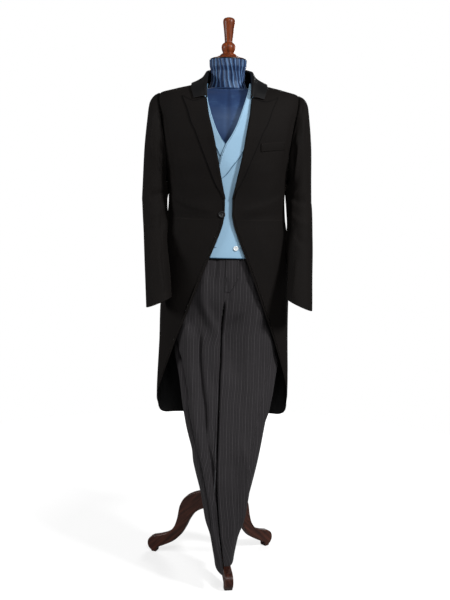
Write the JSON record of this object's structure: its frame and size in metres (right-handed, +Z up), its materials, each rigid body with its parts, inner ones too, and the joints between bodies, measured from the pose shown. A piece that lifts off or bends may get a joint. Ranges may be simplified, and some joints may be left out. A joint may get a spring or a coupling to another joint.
{
  "type": "morning suit on a dress form stand",
  "caption": "Black tail coat, pale blue double-breasted waistcoat and striped trousers on a limbless dress form with a turned finial and a three-legged stand",
  "frame": {"origin": "middle of the whole plan, on the floor under the stand's feet", "axes": "+Z is up, the suit's front faces -Y, +X is to the right of someone who looks at its front"},
  "size_m": [0.515, 0.4168, 1.6902],
  "materials": {
    "black_wool": "matte worsted with a soft sheen",
    "pale_blue_wool": "matte",
    "pale_blue_lining": "smooth",
    "striped_wool": "matte, fine vertical stripes",
    "blue_satin": "satin",
    "black_paint": "semi-gloss",
    "dark_wood": "varnished",
    "black_iron": "satin",
    "black_horn": "polished",
    "pearl": "polished"
  },
  "bodies": {
    "root": {"coat_front_left": "black_wool", "coat_front_right": "black_wool", "coat_side_left": "black_wool", "coat_side_right": "black_wool", "coat_back_left": "black_wool", "coat_back_right": "black_wool", "coat_skirt_left": "black_wool", "coat_skirt_right": "black_wool", "top_sleeve_left": "black_wool", "under_sleeve_left": "black_wool", "top_sleeve_right": "black_wool", "under_sleeve_right": "black_wool", "coat_lapel_left": "black_wool", "coat_lapel_right": "black_wool", "coat_collar": "black_wool", "breast_welt": "black_wool", "coat_button": "black_horn", "back_button_left": "black_horn", "back_button_right": "black_horn", "cuff_button_left_1": "black_horn", "cuff_button_left_2": "black_horn", "cuff_button_left_3": "black_horn", "cuff_button_left_4": "black_horn", "cuff_button_right_1": "black_horn", "cuff_button_right_2": "black_horn", "cuff_button_right_3": "black_horn", "cuff_button_right_4": "black_horn", "waistcoat_front_left": "pale_blue_wool", "waistcoat_front_right": "pale_blue_wool", "waistcoat_lapel_left": "pale_blue_wool", "waistcoat_lapel_right": "pale_blue_wool", "waistcoat_back": "pale_blue_lining", "waistcoat_button_left_1": "pearl", "waistcoat_button_left_2": "pearl", "waistcoat_button_left_3": "pearl", "waistcoat_button_right_1": "pearl", "waistcoat_button_right_2": "pearl", "waistcoat_button_right_3": "pearl", "trouser_front_left": "striped_wool", "trouser_back_left": "striped_wool", "trouser_front_right": "striped_wool", "trouser_back_right": "striped_wool", "trouser_waistband": "striped_wool", "trouser_fly": "striped_wool", "form_torso": "blue_satin", "form_neck": "blue_satin", "form_cap": "black_paint", "finial": "dark_wood", "stand_hub": "dark_wood", "stand_pole": "black_iron", "stand_leg_1": "dark_wood", "stand_leg_2": "dark_wood", "stand_leg_3": "dark_wood"}
  },
  "joints": []
}
